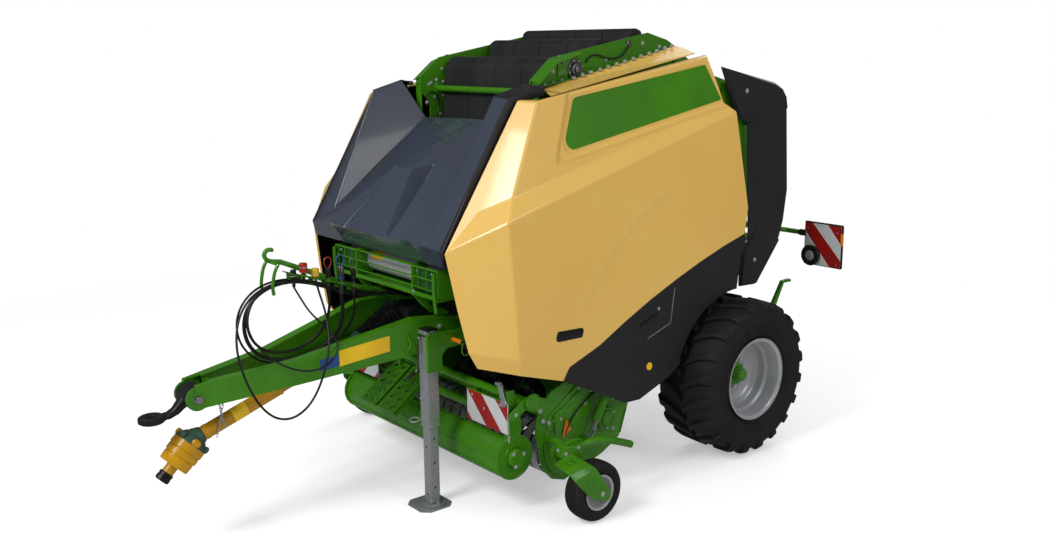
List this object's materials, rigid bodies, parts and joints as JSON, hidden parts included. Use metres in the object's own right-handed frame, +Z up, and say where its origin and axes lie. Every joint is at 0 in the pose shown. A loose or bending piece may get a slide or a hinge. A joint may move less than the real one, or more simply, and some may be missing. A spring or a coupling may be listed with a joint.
{
  "type": "round baler",
  "caption": "Towed farm baler with a belt chamber, lifting tailgate, pickup with gauge wheels, covered drive shaft, drawbar with a ring and a parking jack",
  "frame": {"origin": "on the ground below the middle of the machine's outer box, drawbar and bale ramp included", "axes": "+Z up, +X to the machine's left, -Y forward along the drawbar, +Y to the tailgate"},
  "size_m": [2.836, 5.098, 3.0769],
  "materials": {
    "frame_green": "gloss green enamel on steel",
    "roller_black": "black paint on steel",
    "belt_black": "matte rubber belting",
    "tyre_black": "black rubber",
    "rim_silver": "silver paint",
    "cast_black": "painted casting",
    "guard_amber": "moulded plastic",
    "shaft_steel": "bare steel, oiled",
    "boot_black": "ribbed rubber",
    "hood_slate": "gloss dark slate enamel",
    "cover_yellow": "gloss moulded plastic",
    "cover_black": "textured moulded plastic",
    "net_white": "rolled netting",
    "zinc": "galvanised",
    "board_red": "striped sheeting",
    "rod_chrome": "polished",
    "hose_rubber": "matte rubber"
  },
  "bodies": {
    "chassis": {"side_walls": "frame_green", "belt_rollers": "roller_black", "chamber_belts": "belt_black", "chassis_frame": "frame_green", "axle_beam": "frame_green", "drawbar": "frame_green", "towing_eye": "cast_black", "gearbox": "roller_black", "pto_guard": "guard_amber", "pto_boot": "boot_black", "roof_strips": "cover_yellow", "net_box": "frame_green", "net_roll": "net_white", "knife_bed": "frame_green", "hose_holder": "frame_green", "hose_couplers": "hose_rubber", "hose_blue": "hose_rubber", "hose_red": "hose_rubber", "hose_green": "hose_rubber", "cable_plug": "hose_rubber", "cable_long": "hose_rubber"},
    "wheel_left": {"main_tyre_left": "tyre_black", "main_rim_left": "rim_silver", "main_hub_left": "frame_green"},
    "wheel_right": {"main_tyre_right": "tyre_black", "main_rim_right": "rim_silver", "main_hub_right": "frame_green"},
    "drive_yoke": {"pto_yoke": "shaft_steel"},
    "hood": {"front_hood": "hood_slate"},
    "cover_left": {"side_cover_left": "cover_yellow", "lower_cover_left": "cover_black"},
    "cover_right": {"side_cover_right": "cover_yellow", "lower_cover_right": "cover_black"},
    "rotor": {"feed_rotor": "shaft_steel"},
    "pickup": {"pickup_frame": "frame_green", "pickup_bands": "zinc", "gauge_arms": "frame_green"},
    "reel": {"pickup_reel": "shaft_steel"},
    "gauge_wheel_left": {"gauge_tyre_left": "tyre_black", "gauge_rim_left": "rim_silver"},
    "gauge_wheel_right": {"gauge_tyre_right": "tyre_black", "gauge_rim_right": "rim_silver"},
    "guard": {"wind_guard": "frame_green", "warning_boards": "board_red", "step_plates": "frame_green"},
    "lift_barrel_pair": {"lift_barrels": "frame_green"},
    "lift_rod_pair": {"lift_rods": "rod_chrome"},
    "jack": {"jack_tube": "zinc"},
    "jack_foot": {"jack_leg": "zinc"},
    "tailgate": {"tailgate_frame": "frame_green", "tailgate_arms": "frame_green", "tailgate_rollers": "roller_black", "tailgate_belts": "belt_black", "tailgate_covers": "cover_black", "rear_lights": "board_red"},
    "tail_barrel_pair": {"tailgate_barrels": "frame_green"},
    "tail_rod_pair": {"tailgate_rods": "rod_chrome"},
    "ramp": {"bale_ramp": "frame_green"}
  },
  "joints": [
    {"name": "wheel_left_spin", "type": "hinge", "parent": "chassis", "child": "wheel_left", "pos_m": [1.07, 1.45, 0.575], "axis": [1, 0, 0], "continuous": true},
    {"name": "wheel_right_spin", "type": "hinge", "parent": "chassis", "child": "wheel_right", "pos_m": [-1.07, 1.45, 0.575], "axis": [1, 0, 0], "continuous": true},
    {"name": "drive_yoke_spin", "type": "hinge", "parent": "chassis", "child": "drive_yoke", "pos_m": [0, -2.44949, 0.46082], "axis": [0, -0.72, -0.694], "continuous": true},
    {"name": "front_hood_lift", "type": "hinge", "parent": "chassis", "child": "hood", "pos_m": [0, -0.13, 2.7], "axis": [-1, 0, 0], "range_deg": [0, 42]},
    {"name": "side_cover_left_lift", "type": "hinge", "parent": "chassis", "child": "cover_left", "pos_m": [0.89, -0.1, 2.65], "axis": [0, -0.9865, -0.1637], "range_deg": [0, 62]},
    {"name": "side_cover_right_lift", "type": "hinge", "parent": "chassis", "child": "cover_right", "pos_m": [-0.89, -0.1, 2.65], "axis": [0, 0.9865, 0.1637], "range_deg": [0, 62]},
    {"name": "feed_rotor_spin", "type": "hinge", "parent": "chassis", "child": "rotor", "pos_m": [0, 0.238, 0.483], "axis": [1, 0, 0], "continuous": true},
    {"name": "pickup_lift", "type": "hinge", "parent": "chassis", "child": "pickup", "pos_m": [0, 0.238, 0.483], "axis": [-1, 0, 0], "range_deg": [0, 12]},
    {"name": "pickup_reel_spin", "type": "hinge", "parent": "pickup", "child": "reel", "pos_m": [0, -0.15, 0.335], "axis": [1, 0, 0], "continuous": true},
    {"name": "gauge_wheel_left_spin", "type": "hinge", "parent": "pickup", "child": "gauge_wheel_left", "pos_m": [1.32, -0.193, 0.196], "axis": [1, 0, 0], "continuous": true},
    {"name": "gauge_wheel_right_spin", "type": "hinge", "parent": "pickup", "child": "gauge_wheel_right", "pos_m": [-1.32, -0.193, 0.196], "axis": [1, 0, 0], "continuous": true},
    {"name": "wind_guard_lift", "type": "hinge", "parent": "pickup", "child": "guard", "pos_m": [0, -0.424, 0.749], "axis": [-1, 0, 0], "range_deg": [0, 18]},
    {"name": "lift_cylinder_swing", "type": "hinge", "parent": "chassis", "child": "lift_barrel_pair", "pos_m": [0, 0.3, 0.86], "axis": [-1, 0, 0], "range_deg": [0, 3.96]},
    {"name": "lift_cylinder_extend", "type": "slide", "parent": "lift_barrel_pair", "child": "lift_rod_pair", "axis": [0, 0.4763, 0.8793], "range_m": [0, 0.0288]},
    {"name": "jack_swing", "type": "hinge", "parent": "chassis", "child": "jack", "pos_m": [0.512, -0.835, 1.13], "axis": [-1, 0, 0], "range_deg": [0, 90]},
    {"name": "jack_leg_slide", "type": "slide", "parent": "jack", "child": "jack_foot", "axis": [0, 0, 1], "range_m": [0, 0.34]},
    {"name": "tailgate_lift", "type": "hinge", "parent": "chassis", "child": "tailgate", "pos_m": [0, 1.24, 2.88], "axis": [1, 0, 0], "range_deg": [0, 62]},
    {"name": "tailgate_cylinder_swing", "type": "hinge", "parent": "chassis", "child": "tail_barrel_pair", "pos_m": [0, 0.92, 1.49], "axis": [1, 0, 0], "range_deg": [0, 3.37]},
    {"name": "tailgate_cylinder_extend", "type": "slide", "parent": "tail_barrel_pair", "child": "tail_rod_pair", "axis": [0, 0.4229, 0.9062], "range_m": [0, 0.30328]},
    {"name": "bale_ramp_tilt", "type": "hinge", "parent": "chassis", "child": "ramp", "pos_m": [0, 1.59, 0.575], "axis": [-1, 0, 0], "range_deg": [0, 30]}
  ],
  "couplings": [
    {"joint": "lift_cylinder_swing", "follows": "pickup_lift", "ratio": 0.32995},
    {"joint": "lift_cylinder_extend", "follows": "pickup_lift", "m_per_rad": 0.13753},
    {"joint": "tailgate_cylinder_swing", "follows": "tailgate_lift", "ratio": 0.05431},
    {"joint": "tailgate_cylinder_extend", "follows": "tailgate_lift", "m_per_rad": 0.28027}
  ]
}
